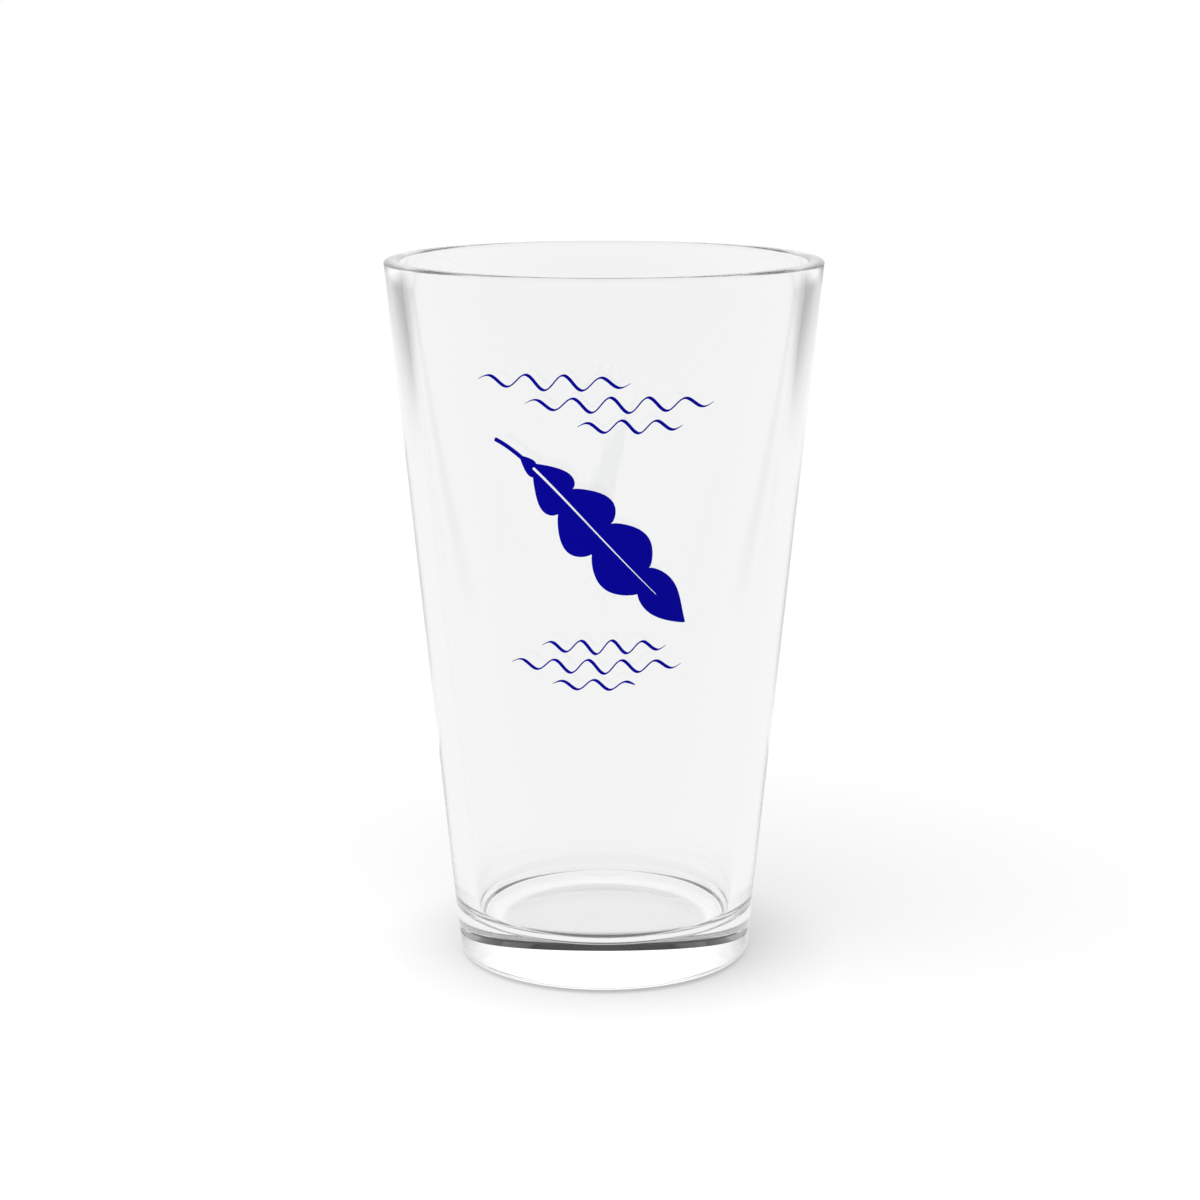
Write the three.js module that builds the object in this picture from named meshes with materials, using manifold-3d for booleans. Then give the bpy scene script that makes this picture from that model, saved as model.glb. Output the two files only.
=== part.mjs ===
// A straight-sided pint glass: one pressed glass body with a heavy base, and a
// navy print on the front made of separate islands of ink, a leaf between two
// groups of ripples. Millimetres, +Z up, origin at the centre of the foot, and
// the print faces -Y.
import * as THREE from 'three';
import { mergeVertices } from 'three/addons/utils/BufferGeometryUtils.js';
import Module from 'manifold-3d';

const wasm = await Module();
wasm.setup();

// Driving dimensions of the glass.
const HEIGHT = 146;
const RIM_RADIUS = 44.5; // outside, at its widest, just under the crest
const BASE_RADIUS = 30.3; // outside taper carried down to the table
const RIM_WALL = 3.2;
const BASE_WALL = 4.6; // where the inner wall meets its bottom fillet
const FLOOR_THICKNESS = 9.5;
const FLOOR_FILLET = 3.6;
const RIM_ROUND = 0.8; // height of the rounded lip
const FOOT_RADIUS = 21; // flat disc that rests on the table
const BEVEL_RADIUS = 25.2; // the underside rises from the foot to here,
const BEVEL_RISE = 0.4;
const HEEL_RISE = 0.68; // and then more gently to its corner with the wall
const HEEL_ROUND = 1.3;

// Driving dimensions of the print.
const INK_THICKNESS = 0.2;
const INK_GAP = 0.1; // clear of the glass, so that the solids stay apart
const PRINT_LOW = 60;
const PRINT_HIGH = 132;
const STROKE_THIN = 0.28;
const STROKE_THICK = 0.65;

// Fineness of the faceted solids.
const SEGMENTS = 72;
const RIM_STEPS = 8;
const HEEL_STEPS = 5;
const FILLET_STEPS = 6;
const STROKE_STEPS_PER_WAVE = 12;
const LEAF_STEPS = 96;
const SLIT_STEPS = 16;

const lipHeight = HEIGHT - RIM_ROUND;
const taper = (RIM_RADIUS - BASE_RADIUS) / lipHeight;

function outerRadius(height) {
  return BASE_RADIUS + taper * height;
}

function innerRadius(height) {
  const filletTop = FLOOR_THICKNESS + FLOOR_FILLET;
  const rise = (height - filletTop) / (lipHeight - filletTop);
  return outerRadius(height) - THREE.MathUtils.lerp(BASE_WALL, RIM_WALL, rise);
}

// Points of an elliptical arc, in radius and height, from one angle to another.
function arc(centre, semiRadius, semiHeight, from, to, steps) {
  const points = [];
  for (let i = 0; i <= steps; i += 1) {
    const angle = THREE.MathUtils.lerp(from, to, i / steps);
    const radius = centre.x + semiRadius * Math.cos(angle);
    points.push(new THREE.Vector2(radius, centre.y + semiHeight * Math.sin(angle)));
  }
  return points;
}

// Points of the round, of the given radius, that takes the place of a corner.
function roundedCorner(before, corner, after, radius, steps) {
  const back = before.clone().sub(corner).normalize();
  const ahead = after.clone().sub(corner).normalize();
  const halfAngle = Math.acos(back.dot(ahead)) / 2;
  const middle = back.clone().add(ahead).normalize();
  const centre = corner.clone().addScaledVector(middle, radius / Math.sin(halfAngle));
  const start = corner.clone().addScaledVector(back, radius / Math.tan(halfAngle)).sub(centre);
  const turn = Math.PI - 2 * halfAngle;
  const points = [];
  for (let i = 0; i <= steps; i += 1) {
    points.push(start.clone().rotateAround(new THREE.Vector2(), (turn * i) / steps).add(centre));
  }
  return points;
}

// Turns a profile of (radius, height) points about the vertical axis.
function turned(profile) {
  return new THREE.LatheGeometry(profile, SEGMENTS).rotateX(Math.PI / 2);
}

function glassBody() {
  const bevelEdge = new THREE.Vector2(BEVEL_RADIUS, BEVEL_RISE);
  const heelCorner = new THREE.Vector2(outerRadius(HEEL_RISE), HEEL_RISE);
  const rimOuter = outerRadius(lipHeight);
  const rimInner = innerRadius(lipHeight);
  const rimCentre = new THREE.Vector2((rimOuter + rimInner) / 2, lipHeight);
  const filletTop = FLOOR_THICKNESS + FLOOR_FILLET;
  const filletCentre = new THREE.Vector2(innerRadius(filletTop) - FLOOR_FILLET, filletTop);
  const rimHalf = (rimOuter - rimInner) / 2;
  const lipEdge = new THREE.Vector2(rimOuter, lipHeight);
  const profile = [
    new THREE.Vector2(0, 0),
    new THREE.Vector2(FOOT_RADIUS, 0),
    bevelEdge,
    ...roundedCorner(bevelEdge, heelCorner, lipEdge, HEEL_ROUND, HEEL_STEPS),
    ...arc(rimCentre, rimHalf, RIM_ROUND, 0, Math.PI, RIM_STEPS),
    ...arc(filletCentre, FLOOR_FILLET, FLOOR_FILLET, 0, -Math.PI / 2, FILLET_STEPS),
    new THREE.Vector2(0, FLOOR_THICKNESS),
  ];
  return turned(profile);
}

// The thin shell, just outside the glass, that every island of ink is cut from.
function inkShell() {
  const corner = (height, offset) => new THREE.Vector2(outerRadius(height) + offset, height);
  const outside = INK_GAP + INK_THICKNESS;
  return turned([
    corner(PRINT_LOW, INK_GAP),
    corner(PRINT_LOW, outside),
    corner(PRINT_HIGH, outside),
    corner(PRINT_HIGH, INK_GAP),
    corner(PRINT_LOW, INK_GAP),
  ]);
}

function toSolid(geometry) {
  const bare = geometry.clone();
  bare.deleteAttribute('normal');
  bare.deleteAttribute('uv');
  const merged = mergeVertices(bare, 1e-4);
  const vertProperties = new Float32Array(merged.attributes.position.array);
  const triVerts = new Uint32Array(merged.index.array);
  return new wasm.Manifold(new wasm.Mesh({ numProp: 3, vertProperties, triVerts }));
}

function toGeometry(solid) {
  const mesh = solid.getMesh();
  const geometry = new THREE.BufferGeometry();
  geometry.setAttribute('position', new THREE.BufferAttribute(mesh.vertProperties, 3));
  geometry.setIndex(new THREE.BufferAttribute(mesh.triVerts, 1));
  geometry.computeVertexNormals();
  return geometry;
}

// Pushes a flat outline, seen from the front, back through the ink shell.
function inkIsland(outline) {
  const depth = 2 * RIM_RADIUS;
  const block = new THREE.ExtrudeGeometry(outline, { depth, bevelEnabled: false });
  return toGeometry(toSolid(block.rotateX(Math.PI / 2)).intersect(toSolid(inkShell())));
}

// The two edges of a band about a centre line. halfWidths gives the distance of
// each edge from the line, and lean carries an edge forward as it stands out.
function bandEdges({ centre, halfWidths, steps, lean = 0 }) {
  const left = [];
  const right = [];
  const nudge = 1e-3;
  for (let i = 0; i <= steps; i += 1) {
    const t = i / steps;
    const along = centre(Math.min(t + nudge, 1)).sub(centre(Math.max(t - nudge, 0))).normalize();
    const across = new THREE.Vector2(-along.y, along.x);
    const edge = (half, side) =>
      centre(t).addScaledVector(across, side * half).addScaledVector(along, lean * half);
    const [leftHalf, rightHalf] = halfWidths(t, along);
    left.push(edge(leftHalf, 1));
    right.push(edge(rightHalf, -1));
  }
  return { left, right };
}

// A ripple: a wave train that swells in the middle, drawn as if with a broad
// pen, thick on its falling strokes and thin on its rising ones.
function rippleOutline({ start, end, height, swell, waves }) {
  const centre = (t) => {
    const envelope = swell * (0.45 + 0.55 * Math.sin(Math.PI * t));
    const z = height + envelope * Math.sin(2 * Math.PI * waves * t);
    return new THREE.Vector2(THREE.MathUtils.lerp(start, end, t), z);
  };
  const halfWidths = (t, along) => {
    const falling = THREE.MathUtils.clamp(0.5 - along.y, 0, 1);
    const point = Math.min(1, 8 * Math.min(t, 1 - t) + 0.35);
    const half = 0.5 * point * THREE.MathUtils.lerp(STROKE_THIN, STROKE_THICK, falling);
    return [half, half];
  };
  const steps = Math.round(STROKE_STEPS_PER_WAVE * waves);
  const { left, right } = bandEdges({ centre, halfWidths, steps });
  return new THREE.Shape([...right, ...left.reverse()]);
}

// The leaf's rib, from the end of its stalk at the upper left to its tip.
const leafRib = new THREE.CubicBezierCurve(
  new THREE.Vector2(-21, 114.5),
  new THREE.Vector2(-13.5, 111.5),
  new THREE.Vector2(-4, 99),
  new THREE.Vector2(15.8, 78.2),
);
const BLADE_START = 0.2; // the stalk ends and the blade begins
const BLADE_HALF_WIDTH = 7;
const LOBES = 4.5;
const LOBE_DEPTH = 0.52;
const LOBE_STAGGER = 0.18; // the lobes of one side sit a little behind the other's
const LOBE_LEAN = 0.33; // the lobes lean towards the tip
const STALK_HALF_WIDTH = 0.42;
const SLIT_START = 0.3;
const SLIT_END = 0.9;
const SLIT_HALF_WIDTH = 0.26;

// Half-width of the stalk, and then of one side of the lobed blade.
function leafHalfWidth(t, stagger) {
  const along = Math.max((t - BLADE_START) / (1 - BLADE_START), 0);
  const blade = BLADE_HALF_WIDTH * Math.sin(Math.PI * along ** 1.25) ** 0.75;
  const lobe = Math.abs(Math.cos(Math.PI * (LOBES * along - stagger))) ** 0.7;
  const stalk = STALK_HALF_WIDTH * Math.min(1, 20 * (1 - t));
  return Math.max(blade * (1 - LOBE_DEPTH * (1 - lobe)), stalk);
}

// The clear line along the rib of the blade, where no ink is printed.
function ribSlit() {
  const centre = (t) => leafRib.getPoint(THREE.MathUtils.lerp(SLIT_START, SLIT_END, t));
  const halfWidths = (t) => [SLIT_HALF_WIDTH * (1 - 0.8 * t), SLIT_HALF_WIDTH * (1 - 0.8 * t)];
  const { left, right } = bandEdges({ centre, halfWidths, steps: SLIT_STEPS });
  return new THREE.Path([...right, ...left.reverse()]);
}

function leafOutline() {
  const centre = (t) => leafRib.getPoint(t);
  const halfWidths = (t) => [leafHalfWidth(t, 0), leafHalfWidth(t, LOBE_STAGGER)];
  const { left, right } = bandEdges({ centre, halfWidths, steps: LEAF_STEPS, lean: LOBE_LEAN });
  const outline = new THREE.Shape([...right, ...left.slice(0, -1).reverse()]);
  outline.holes.push(ribSlit());
  return outline;
}

const RIPPLES = {
  print_ripple_upper_1: { start: -24, end: 5, height: 126.0, swell: 1.5, waves: 4 },
  print_ripple_upper_2: { start: -15, end: 21, height: 121.8, swell: 1.5, waves: 5 },
  print_ripple_upper_3: { start: -5, end: 15, height: 117.6, swell: 1.3, waves: 3 },
  print_ripple_lower_1: { start: -12, end: 12, height: 73.8, swell: 1.4, waves: 4 },
  print_ripple_lower_2: { start: -18, end: 15, height: 69.8, swell: 1.4, waves: 5 },
  print_ripple_lower_3: { start: -10, end: 6, height: 66.0, swell: 1.1, waves: 2.5 },
};

const clearGlass = new THREE.MeshStandardMaterial({
  color: 0xf4f8f7,
  roughness: 0.03,
  metalness: 0,
  transparent: true,
  opacity: 0.35,
});

const navyInk = new THREE.MeshStandardMaterial({ color: 0x02008b, roughness: 0.4, metalness: 0 });

function named(name, geometry, material) {
  const mesh = new THREE.Mesh(geometry, material.clone());
  mesh.name = name;
  return mesh;
}

const pintGlass = new THREE.Group();
pintGlass.name = 'pint_glass';
pintGlass.add(named('glass_body', glassBody(), clearGlass));
pintGlass.add(named('print_leaf', inkIsland(leafOutline()), navyInk));
for (const [name, ripple] of Object.entries(RIPPLES)) {
  pintGlass.add(named(name, inkIsland(rippleOutline(ripple)), navyInk));
}

export default pintGlass;
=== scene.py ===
"""A clear pint glass with a navy print, standing on a white sweep in soft studio light.

Metres, +Z up, print towards -Y. The glass body is turned finely about the sizes of the CAD
body, and each island of ink is laid on its outer wall.
"""
import math

import bmesh
import bpy
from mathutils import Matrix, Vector


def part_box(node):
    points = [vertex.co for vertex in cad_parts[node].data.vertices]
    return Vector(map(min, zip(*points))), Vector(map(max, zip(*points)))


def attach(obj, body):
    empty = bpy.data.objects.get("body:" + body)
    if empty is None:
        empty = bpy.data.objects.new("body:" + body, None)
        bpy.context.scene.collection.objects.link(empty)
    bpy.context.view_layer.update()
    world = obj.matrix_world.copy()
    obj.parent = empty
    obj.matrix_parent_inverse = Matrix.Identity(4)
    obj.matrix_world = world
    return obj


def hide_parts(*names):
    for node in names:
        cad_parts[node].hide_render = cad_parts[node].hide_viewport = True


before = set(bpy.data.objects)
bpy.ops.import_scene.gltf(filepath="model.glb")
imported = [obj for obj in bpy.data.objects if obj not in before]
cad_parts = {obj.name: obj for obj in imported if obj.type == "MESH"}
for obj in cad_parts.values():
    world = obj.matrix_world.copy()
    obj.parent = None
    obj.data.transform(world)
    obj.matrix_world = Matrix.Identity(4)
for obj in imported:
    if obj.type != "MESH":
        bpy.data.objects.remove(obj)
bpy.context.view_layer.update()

MM = 0.001

# ---------------------------------------------------------------- sizes read from the frame


def cad_rings(node):
    """(radius, height) of each ring of vertices of a turned CAD node."""
    return {(round(math.hypot(v.co.x, v.co.y), 6), round(v.co.z, 6)) for v in node.data.vertices}


def by_radius(ring):
    return ring[0]


def by_height(ring):
    return ring[1]


TINY = 1e-5

rings = cad_rings(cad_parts["glass_body"])
HEIGHT = max(height for radius, height in rings)
floor_height = max(height for radius, height in rings if radius < TINY)
underside = sorted((r for r in rings if r[0] > TINY and r[1] < floor_height - TINY), key=by_height)
foot_edge, bevel_edge, heel_foot = (Vector(ring) for ring in underside[:3])
heel_top = Vector(underside[-1])
wall_foot = Vector(max((ring for ring in rings if ring[1] < HEIGHT / 2), key=by_height))
floor_edge = Vector(max(ring for ring in rings if abs(ring[1] - floor_height) < TINY))
lip_rings = [ring for ring in rings if ring[1] > HEIGHT / 2]
lip_outside = Vector(max(lip_rings, key=by_radius))
lip_inside = Vector(min(lip_rings, key=by_radius))

taper = (lip_outside.x - heel_top.x) / (lip_outside.y - heel_top.y)


def outer_radius(height):
    """Radius of the outer wall, between the heel and the lip."""
    return heel_top.x + taper * (height - heel_top.y)


# ---------------------------------------------------------------- meshes


def new_object(name, mesh):
    """Links an object that holds the mesh."""
    made = bpy.data.objects.new(name, mesh)
    bpy.context.scene.collection.objects.link(made)
    return made


def finished(name, sheet, smooth=True):
    """An object from a bmesh, with its faces turned outwards."""
    bmesh.ops.recalc_face_normals(sheet, faces=sheet.faces)
    mesh = bpy.data.meshes.new(name)
    sheet.to_mesh(mesh)
    sheet.free()
    mesh.polygons.foreach_set("use_smooth", [smooth] * len(mesh.polygons))
    return new_object(name, mesh)


def straight(start, end, steps):
    """Points from start to just short of end."""
    return [start.lerp(end, i / steps) for i in range(steps)]


def bezier_point(a, b, c, d, t):
    """The point at t on a cubic Bezier curve."""
    s = 1 - t
    return s**3 * a + 3 * s * s * t * b + 3 * s * t * t * c + t**3 * d


def bezier(a, b, c, d, steps):
    """Points along a cubic Bezier curve, from a to just short of d."""
    return [bezier_point(a, b, c, d, i / steps) for i in range(steps)]


def crossing(a, b, c, d):
    """Where the line through a and b meets the line through c and d."""
    along, other = b - a, d - c
    return a + along * (c - a).cross(other) / along.cross(other)


ROUND_REACH = 0.56  # of the way to the corner, which makes a curve close to a circle


def rounded(start, corner, end, steps):
    """The round from start to just short of end that takes the place of a corner."""
    return bezier(start, start.lerp(corner, ROUND_REACH), end.lerp(corner, ROUND_REACH), end, steps)


RIM_STEPS = 40
ROUND_STEPS = 28
WALL_STEPS = 40
FLAT_STEPS = 10
GLASS_SIDES = 256


def glass_profile():
    """The outline of half the glass, from the middle of the underside to the middle of the floor."""
    heel_corner = crossing(bevel_edge, heel_foot, heel_top, lip_outside)
    floor_corner = crossing(lip_inside, wall_foot, floor_edge, Vector((0, floor_height)))
    lip_centre = (lip_outside + lip_inside) / 2
    lip_half = (lip_outside.x - lip_inside.x) / 2
    lip_rise = HEIGHT - lip_centre.y
    lip = []
    for i in range(RIM_STEPS):
        angle = math.pi * i / RIM_STEPS
        lip.append(lip_centre + Vector((lip_half * math.cos(angle), lip_rise * math.sin(angle))))
    return [
        *straight(Vector((0, 0)), foot_edge, FLAT_STEPS),
        *straight(foot_edge, bevel_edge, FLAT_STEPS),
        *straight(bevel_edge, heel_foot, FLAT_STEPS),
        *rounded(heel_foot, heel_corner, heel_top, ROUND_STEPS),
        *straight(heel_top, lip_outside, WALL_STEPS),
        *lip,
        *straight(lip_inside, wall_foot, WALL_STEPS),
        *rounded(wall_foot, floor_corner, floor_edge, ROUND_STEPS),
        *straight(floor_edge, Vector((0, floor_height)), FLAT_STEPS),
        Vector((0, floor_height)),
    ]


def turned(name, profile, sides):
    """A closed solid of revolution from a profile that starts and ends on the axis."""
    sheet = bmesh.new()
    loops = []
    for point in profile:
        if point.x < TINY:
            loops.append([sheet.verts.new((0, 0, point.y))] * sides)
            continue
        loop = []
        for k in range(sides):
            angle = 2 * math.pi * k / sides
            loop.append(sheet.verts.new((point.x * math.cos(angle), point.x * math.sin(angle), point.y)))
        loops.append(loop)
    for lower, upper in zip(loops, loops[1:]):
        for k in range(sides):
            n = (k + 1) % sides
            corners = list(dict.fromkeys((lower[k], lower[n], upper[n], upper[k])))
            sheet.faces.new(corners)
    return finished(name, sheet)


# ---------------------------------------------------------------- the print

INK_DEPTH = 0.03 * MM
INK_LIFT = 0.01 * MM  # the ink's underside, clear of the glass


def on_glass(point):
    """The place on the ink's outer face that is in front of (x, height)."""
    radius = outer_radius(point.y) + INK_LIFT + INK_DEPTH
    return (point.x, -math.sqrt(radius**2 - point.x**2), point.y)


def lay_band(sheet, rows):
    """Adds a strip of ink, given as rows of (x, height) points from one edge to the other."""
    laid = [[sheet.verts.new(on_glass(point)) for point in row] for row in rows]
    for lower, upper in zip(laid, laid[1:]):
        for k in range(len(lower) - 1):
            sheet.faces.new((lower[k], lower[k + 1], upper[k + 1], upper[k]))


def ink_skin(name, sheet):
    """Closes a sheet of ink into a thin skin that has an inner face and edges."""
    bmesh.ops.remove_doubles(sheet, verts=sheet.verts, dist=0.001 * MM)
    faces = list(sheet.faces)
    borders = [edge for edge in sheet.edges if edge.is_boundary]
    inner = {}
    for vertex in list(sheet.verts):
        radius = math.hypot(vertex.co.x, vertex.co.y)
        share = 1 - INK_DEPTH / radius
        inner[vertex] = sheet.verts.new((vertex.co.x * share, vertex.co.y * share, vertex.co.z))
    for face in faces:
        sheet.faces.new([inner[vertex] for vertex in reversed(face.verts)])
    for edge in borders:
        a, b = edge.verts
        sheet.faces.new((a, b, inner[b], inner[a]))
    return finished(name, sheet, smooth=False)


def across(centre, t):
    """Unit directions along and across a centre line at t."""
    nudge = 1e-3
    along = (centre(min(t + nudge, 1)) - centre(max(t - nudge, 0))).normalized()
    return along, Vector((-along.y, along.x))


def spread(start, end, columns):
    """Points from start to end, both included."""
    return [start.lerp(end, k / columns) for k in range(columns + 1)]


STROKE_THIN = 0.28 * MM
STROKE_THICK = 0.65 * MM
STROKE_STEPS_PER_WAVE = 48
STROKE_TIP = 0.35  # width of the ends, out of the full stroke
STROKE_TIP_GROWTH = 8  # full strokes gained in the length of the ripple
RIPPLE_REST = 0.45  # height of the waves at the ends, out of the height in the middle


def ripple(name, waves):
    """A wave train that swells in the middle, thick on its falling strokes and thin on its rising ones."""
    low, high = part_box(name)
    middle = (low.z + high.z) / 2
    swell = (high.z - low.z - (STROKE_THIN + STROKE_THICK) / 2) / 2

    def centre(t):
        envelope = swell * (RIPPLE_REST + (1 - RIPPLE_REST) * math.sin(math.pi * t))
        return Vector((low.x + (high.x - low.x) * t, middle + envelope * math.sin(2 * math.pi * waves * t)))

    sheet = bmesh.new()
    rows = []
    steps = round(STROKE_STEPS_PER_WAVE * waves)
    for i in range(steps + 1):
        t = i / steps
        along, side = across(centre, t)
        falling = min(max(0.5 - along.y, 0), 1)
        point = min(1, STROKE_TIP_GROWTH * min(t, 1 - t) + STROKE_TIP)
        half = 0.5 * point * (STROKE_THIN + (STROKE_THICK - STROKE_THIN) * falling)
        rows.append(spread(centre(t) - half * side, centre(t) + half * side, 2))
    lay_band(sheet, rows)
    return ink_skin(name + "_ink", sheet)


leaf_low, leaf_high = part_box("print_leaf")


def in_leaf_box(across_share, up_share):
    """The (x, height) at these shares of the CAD leaf's width and height."""
    x = leaf_low.x + (leaf_high.x - leaf_low.x) * across_share
    return Vector((x, leaf_low.z + (leaf_high.z - leaf_low.z) * up_share))


LEAF_RIB = (
    in_leaf_box(0, 0.99),
    in_leaf_box(0.2, 0.91),
    in_leaf_box(0.46, 0.57),
    in_leaf_box(1, 0),
)
BLADE_START = 0.2  # the stalk ends and the blade begins
BLADE_HALF_WIDTH = 7 * MM
LOBES = 4.5
LOBE_DEPTH = 0.52
LOBE_STAGGER = 0.18
LOBE_LEAN = 0.33
STALK_HALF_WIDTH = 0.42 * MM
SLIT_START = 0.3
SLIT_END = 0.9
SLIT_HALF_WIDTH = 0.26 * MM
SLIT_TAPER = 0.8
TIP_SHARPNESS = 20
BLADE_FULLEST = 1.25  # above 1 puts the widest part nearer the tip
BLADE_BLUNTNESS = 0.75
LOBE_BLUNTNESS = 0.7
LEAF_STEPS = 360
LEAF_COLUMNS = 10


def leaf_rib(t):
    """The point on the leaf's rib, from the end of the stalk to the tip."""
    return bezier_point(*LEAF_RIB, t)


def leaf_half_width(t, stagger):
    """Half-width of the stalk, and then of one side of the lobed blade."""
    along = max((t - BLADE_START) / (1 - BLADE_START), 0)
    blade = BLADE_HALF_WIDTH * max(math.sin(math.pi * along**BLADE_FULLEST), 0) ** BLADE_BLUNTNESS
    lobe = abs(math.cos(math.pi * (LOBES * along - stagger))) ** LOBE_BLUNTNESS
    stalk = STALK_HALF_WIDTH * min(1, TIP_SHARPNESS * (1 - t))
    return max(blade * (1 - LOBE_DEPTH * (1 - lobe)), stalk)


def slit_half_width(t):
    """Half-width of the clear line along the rib, which is nothing outside the blade."""
    share = (t - SLIT_START) / (SLIT_END - SLIT_START)
    return SLIT_HALF_WIDTH * (1 - SLIT_TAPER * share) if 0 < share < 1 else 0


def leaf(name):
    """A lobed leaf with a clear rib."""
    sheet = bmesh.new()
    for side_sign, stagger in ((1, 0), (-1, LOBE_STAGGER)):
        rows = []
        for i in range(LEAF_STEPS + 1):
            t = i / LEAF_STEPS
            along, side = across(leaf_rib, t)
            half = leaf_half_width(t, stagger)
            start = leaf_rib(t) + side_sign * slit_half_width(t) * side
            edge = leaf_rib(t) + side_sign * half * side + LOBE_LEAN * half * along
            rows.append(spread(start, edge, LEAF_COLUMNS))
        lay_band(sheet, rows)
    return ink_skin(name + "_ink", sheet)


# ---------------------------------------------------------------- materials


def new_material(name):
    """A node material, its node tree and its Principled shader."""
    material = bpy.data.materials.new(name)
    material.use_nodes = True
    tree = material.node_tree
    return material, tree, tree.nodes["Principled BSDF"]


GLASS_TINT = (0.985, 0.99, 0.987, 1)
GLASS_IOR = 1.52
MOULD_RELIEF = 0.004 * MM
MOULD_WAVES = (12, 12, 90)  # in each metre of x, y and z


def clear_glass():
    """Pressed glass, fire-polished smooth, with the faint level rings that the mould leaves."""
    material, tree, shader = new_material("clear_glass")
    link = tree.links.new
    shader.inputs["Base Color"].default_value = GLASS_TINT
    shader.inputs["Roughness"].default_value = 0
    shader.inputs["IOR"].default_value = GLASS_IOR
    shader.inputs["Transmission Weight"].default_value = 1
    place = tree.nodes.new("ShaderNodeTexCoord")
    level = tree.nodes.new("ShaderNodeMapping")
    level.inputs["Scale"].default_value = MOULD_WAVES
    link(place.outputs["Object"], level.inputs["Vector"])
    unevenness = tree.nodes.new("ShaderNodeTexNoise")
    unevenness.inputs["Scale"].default_value = 1
    unevenness.inputs["Detail"].default_value = 1
    link(level.outputs["Vector"], unevenness.inputs["Vector"])
    relief = tree.nodes.new("ShaderNodeBump")
    relief.inputs["Distance"].default_value = MOULD_RELIEF
    link(unevenness.outputs["Fac"], relief.inputs["Height"])
    link(relief.outputs["Normal"], shader.inputs["Normal"])
    return material


INK_DARK = (0.0005, 0.0002, 0.235, 1)
INK_LIGHT = (0.0010, 0.0003, 0.280, 1)
INK_GRAIN = 900  # in each metre
INK_SMOOTHEST = 0.5
INK_ROUGHEST = 0.7
INK_SHINE = 0.04


def navy_ink():
    """Screen-print ink: even, satin, a touch thinner and glossier here and there."""
    material, tree, shader = new_material("navy_ink")
    link = tree.links.new
    place = tree.nodes.new("ShaderNodeTexCoord")
    mottle = tree.nodes.new("ShaderNodeTexNoise")
    mottle.inputs["Scale"].default_value = INK_GRAIN
    mottle.inputs["Detail"].default_value = 3
    link(place.outputs["Object"], mottle.inputs["Vector"])
    colour = tree.nodes.new("ShaderNodeMix")
    colour.data_type = "RGBA"
    colour.inputs["A"].default_value = INK_DARK
    colour.inputs["B"].default_value = INK_LIGHT
    link(mottle.outputs["Fac"], colour.inputs["Factor"])
    link(colour.outputs["Result"], shader.inputs["Base Color"])
    satin = tree.nodes.new("ShaderNodeMapRange")
    satin.inputs["To Min"].default_value = INK_SMOOTHEST
    satin.inputs["To Max"].default_value = INK_ROUGHEST
    link(mottle.outputs["Fac"], satin.inputs["Value"])
    link(satin.outputs["Result"], shader.inputs["Roughness"])
    shader.inputs["Specular IOR Level"].default_value = INK_SHINE
    return material


# ---------------------------------------------------------------- studio

SWEEP_HALF = 8.0
SWEEP_DROP = 0.05 * MM  # keeps the sweep clear of the foot
SHADE_FACES = (-0.45, -0.85, 0.28)  # towards the main light, so that the shade falls behind the glass
SHADE_SAMPLES = 8
SHADE_REACH = 0.14
SHADE_DEPTH = 0.5
CONTACT_REACH = 0.022
CONTACT_DEPTH = 0.32
SWEEP_SEEN = 1.04  # a little over white, as the photograph is exposed
SWEEP_FRONT = 0.85
SWEEP_BACK = 0.93
SWEEP_DIM_FROM = -0.03  # towards the camera, the sweep dims from here
SWEEP_DIM_TO = -0.12
FOOT_SHADE = 0.26
FOOT_SHADE_FRONT = 0.82
FOOT_SHADE_SOFTNESS = 2 * MM
FOOT_FRONT_FROM = 0.42  # of the foot's radius
FOOT_FRONT_TO = 0.76
SIDE_BAND_SHADE = 0.5  # painted shade: two darker bands painted on the sweep behind the glass on both sides, which draw its edges
SIDE_BAND_INSIDE = 0.3
SIDE_BAND_OUTSIDE = 0.8
SIDE_BAND_SOFTNESS = 0.2
SIDE_BAND_NEAR_EDGE = 0.25


def math_node(tree, operation, *values):
    """The output of a math node, whose inputs are numbers or sockets."""
    node = tree.nodes.new("ShaderNodeMath")
    node.operation = operation
    for socket, value in zip(node.inputs, values):
        if isinstance(value, bpy.types.NodeSocket):
            tree.links.new(value, socket)
        else:
            socket.default_value = value
    return node.outputs["Value"]


def ramp(tree, value, start, end, at_start, at_end):
    """A smooth step from at_start to at_end as the value goes from start to end."""
    node = tree.nodes.new("ShaderNodeMapRange")
    node.interpolation_type = "SMOOTHSTEP"
    node.inputs["From Min"].default_value = start
    node.inputs["From Max"].default_value = end
    node.inputs["To Min"].default_value = at_start
    node.inputs["To Max"].default_value = at_end
    tree.links.new(value, node.inputs["Value"])
    return node.outputs["Result"]


def shade_of_glass(tree, towards, reach, depth):
    """The painted shade of the glass at a place: the share of the light from one side that the glass would
    keep from it, found by ambient occlusion.
    """
    normal = tree.nodes.new("ShaderNodeCombineXYZ")
    for axis, share in zip("XYZ", towards):
        normal.inputs[axis].default_value = share
    occlusion = tree.nodes.new("ShaderNodeAmbientOcclusion")
    occlusion.samples = SHADE_SAMPLES
    occlusion.inputs["Distance"].default_value = reach
    tree.links.new(normal.outputs["Vector"], occlusion.inputs["Normal"])
    return math_node(tree, "MULTIPLY", math_node(tree, "SUBTRACT", 1, occlusion.outputs["AO"]), depth)


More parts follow.
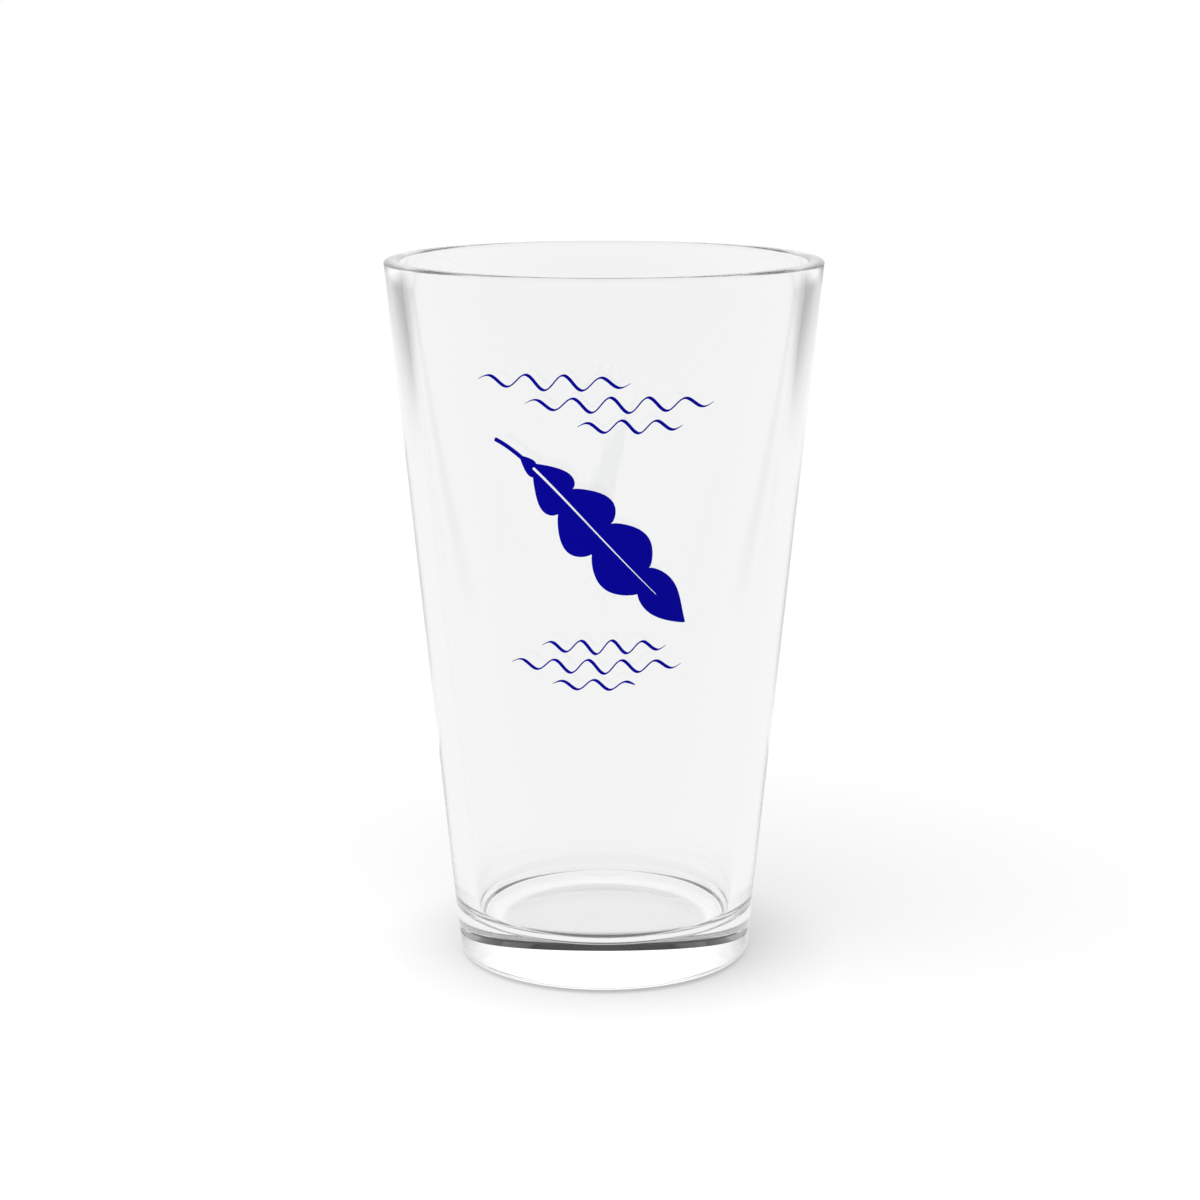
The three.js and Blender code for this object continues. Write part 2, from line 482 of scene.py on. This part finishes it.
def sweep_as_seen(tree):
    """The sweep's brightness in the picture: white, with the soft shade of the glass painted in."""
    behind = shade_of_glass(tree, SHADE_FACES, SHADE_REACH, SHADE_DEPTH)
    contact = shade_of_glass(tree, (0, 0, 1), CONTACT_REACH, CONTACT_DEPTH)
    lit = math_node(tree, "SUBTRACT", math_node(tree, "SUBTRACT", 1, behind), contact)
    return math_node(tree, "MULTIPLY", lit, SWEEP_SEEN)


def sweep_through_glass(tree):
    """The sweep's brightness through the glass, with painted light and shade: dimmer towards the camera, a
    painted shade under the foot that is darker at its front, and painted shade in two bands behind the
    glass on both sides.
    """
    place = tree.nodes.new("ShaderNodeNewGeometry")
    split = tree.nodes.new("ShaderNodeSeparateXYZ")
    tree.links.new(place.outputs["Position"], split.inputs["Vector"])
    x, y = split.outputs["X"], split.outputs["Y"]
    x_squared = math_node(tree, "MULTIPLY", x, x)
    radius = math_node(tree, "SQRT", math_node(tree, "MULTIPLY_ADD", y, y, x_squared))
    level = ramp(tree, y, SWEEP_DIM_TO, SWEEP_DIM_FROM, SWEEP_FRONT, SWEEP_BACK)
    under = ramp(tree, radius, foot_edge.x, foot_edge.x + FOOT_SHADE_SOFTNESS, 1, 0)
    front_end, front_start = -FOOT_FRONT_TO * foot_edge.x, -FOOT_FRONT_FROM * foot_edge.x
    foot_shade = ramp(tree, y, front_end, front_start, FOOT_SHADE_FRONT, FOOT_SHADE)
    kept = math_node(tree, "SUBTRACT", 1, math_node(tree, "MULTIPLY", under, foot_shade))
    # Painted shade: two soft dark bands on the sweep behind the glass, one on each side, which draw the
    # glass's edges.
    off_centre = math_node(tree, "ABSOLUTE", x)
    inner = ramp(tree, off_centre, SIDE_BAND_INSIDE, SIDE_BAND_INSIDE + SIDE_BAND_SOFTNESS, 0, SIDE_BAND_SHADE)
    outer = ramp(tree, off_centre, SIDE_BAND_OUTSIDE - SIDE_BAND_SOFTNESS, SIDE_BAND_OUTSIDE, 1, 0)
    behind = ramp(tree, y, SIDE_BAND_NEAR_EDGE, SIDE_BAND_NEAR_EDGE + SIDE_BAND_SOFTNESS, 0, 1)
    side_band_shade = math_node(tree, "MULTIPLY", math_node(tree, "MULTIPLY", inner, outer), behind)
    lit = math_node(tree, "MULTIPLY", level, math_node(tree, "SUBTRACT", 1, side_band_shade))
    return math_node(tree, "MULTIPLY", lit, kept)


def sweep():
    """The white paper that the glass stands on: a glowing sheet, with the shade of the glass and of its
    foot painted into its glow.
    """
    sheet = bmesh.new()
    corners = ((-1, -1), (1, -1), (1, 1), (-1, 1))
    sheet.faces.new([sheet.verts.new((x * SWEEP_HALF, y * SWEEP_HALF, -SWEEP_DROP)) for x, y in corners])
    made = finished("sweep", sheet, smooth=False)
    material = bpy.data.materials.new("white_sweep")
    material.use_nodes = True
    tree = material.node_tree
    tree.nodes.clear()
    out = tree.nodes.new("ShaderNodeOutputMaterial")
    glow = tree.nodes.new("ShaderNodeEmission")
    tree.links.new(glow.outputs["Emission"], out.inputs["Surface"])
    brightness = tree.nodes.new("ShaderNodeMix")
    # The camera sees the painted shade of sweep_as_seen. All other rays see the painted light and shade of
    # sweep_through_glass.
    ray = tree.nodes.new("ShaderNodeLightPath")
    tree.links.new(ray.outputs["Is Camera Ray"], brightness.inputs["Factor"])
    tree.links.new(sweep_through_glass(tree), brightness.inputs["A"])
    tree.links.new(sweep_as_seen(tree), brightness.inputs["B"])
    tree.links.new(brightness.outputs["Result"], glow.inputs["Strength"])
    made.data.materials.append(material)


# Heights in the room are the sines of their elevations.
WALL_TOP = 0.44  # where the lit wall behind the glass ends
WALL_FOOT_LIGHT = 0.96
WALL_TOP_LIGHT = 1.5
WALL_EDGE = 0.03
FRONT_LIGHT = 0.9
FRONT_DARK = 0.08
FRONT_TOP = 0.25  # where the light on the camera's side has faded
CEILING_LIGHT = 0.3
CEILING_START = 0.6
CEILING_FULL = 0.72
CEILING_FADE = 0.5


def surroundings():
    """A studio with a lit wall low down behind the glass, dim in front and above, white in the picture."""
    world = bpy.data.worlds.new("studio")
    bpy.context.scene.world = world
    world.use_nodes = True
    tree = world.node_tree
    link = tree.links.new
    direction = tree.nodes.new("ShaderNodeTexCoord")
    split = tree.nodes.new("ShaderNodeSeparateXYZ")
    link(direction.outputs["Generated"], split.inputs["Vector"])
    height = split.outputs["Z"]
    rising = ramp(tree, height, CEILING_START, CEILING_FULL, 0, CEILING_LIGHT)
    ceiling = math_node(tree, "MULTIPLY", rising, ramp(tree, height, CEILING_FULL, 1, 1, CEILING_FADE))
    wall_light = ramp(tree, height, 0, WALL_TOP, WALL_FOOT_LIGHT, WALL_TOP_LIGHT)
    wall = math_node(tree, "MULTIPLY", wall_light, ramp(tree, height, WALL_TOP, WALL_TOP + WALL_EDGE, 1, 0))
    back = math_node(tree, "ADD", wall, ceiling)
    front_light = ramp(tree, height, 0, FRONT_TOP, FRONT_LIGHT, FRONT_DARK)
    front = math_node(tree, "ADD", front_light, ceiling)
    backward = math_node(tree, "MULTIPLY_ADD", split.outputs["Y"], 0.5, 0.5)  # 0 in front, 1 behind
    share = math_node(tree, "POWER", backward, 2)
    lighting = tree.nodes.new("ShaderNodeMix")
    link(share, lighting.inputs["Factor"])
    link(front, lighting.inputs["A"])
    link(back, lighting.inputs["B"])
    ray = tree.nodes.new("ShaderNodeLightPath")
    white = tree.nodes.new("ShaderNodeMix")
    white.inputs["B"].default_value = 1
    link(ray.outputs["Is Camera Ray"], white.inputs["Factor"])
    link(lighting.outputs["Result"], white.inputs["A"])
    link(white.outputs["Result"], tree.nodes["Background"].inputs["Color"])


KEY_STRENGTH = 2.4
KEY_SPREAD = 40
KEY_TILT = 50
KEY_TURN = -20


def key_light():
    """A broad soft light from the front left that shows on the ink and leaves the glass clear."""
    data = bpy.data.lights.new("key_light", "SUN")
    data.energy = KEY_STRENGTH
    data.angle = math.radians(KEY_SPREAD)
    made = new_object("key_light", data)
    made.rotation_euler = (math.radians(KEY_TILT), 0, math.radians(KEY_TURN))
    made.visible_glossy = False
    made.visible_transmission = False


CAMERA_PLACE = (0, -0.5593, 0.19437)
CAMERA_DOWN = 12.027  # degrees below level
CAMERA_SENSOR = 36
CAMERA_LENS = 82.67
CAMERA_SHIFT = -0.0033


def camera():
    """The photograph's viewpoint: a little above the rim, looking down at the middle of the glass."""
    data = bpy.data.cameras.new("camera")
    data.sensor_width = CAMERA_SENSOR
    data.lens = CAMERA_LENS
    data.shift_x = CAMERA_SHIFT
    made = new_object("camera", data)
    made.location = CAMERA_PLACE
    made.rotation_euler = (math.radians(90 - CAMERA_DOWN), 0, 0)
    bpy.context.scene.camera = made


GLASS_BOUNCES = 256  # light runs inside the wall of the glass to the rim, as down a light guide


def render_quality():
    """Lets light run through the glass for as long as it takes to leave."""
    cycles = bpy.context.scene.cycles
    cycles.max_bounces = GLASS_BOUNCES
    cycles.transmission_bounces = GLASS_BOUNCES
    cycles.glossy_bounces = GLASS_BOUNCES
    cycles.caustics_refractive = True
    cycles.caustics_reflective = True
    cycles.blur_glossy = 0
    bpy.context.scene.view_settings.view_transform = "Standard"


# ---------------------------------------------------------------- the object


def place(piece, node, slot, material):
    """Gives a piece its material and its body, and hides the CAD node that it stands for."""
    piece.data.materials.append(material)
    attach(piece, "root")
    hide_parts(node)


RIPPLE_WAVES = {
    "print_ripple_upper_1": 4,
    "print_ripple_upper_2": 5,
    "print_ripple_upper_3": 3,
    "print_ripple_lower_1": 4,
    "print_ripple_lower_2": 5,
    "print_ripple_lower_3": 2.5,
}

glass = clear_glass()
ink = navy_ink()
place(turned("pint_glass_body", glass_profile(), GLASS_SIDES), "glass_body", "clear_glass", glass)
place(leaf("print_leaf"), "print_leaf", "navy_ink", ink)
for node, waves in RIPPLE_WAVES.items():
    place(ripple(node, waves), node, "navy_ink", ink)

sweep()
surroundings()
key_light()
camera()
render_quality()
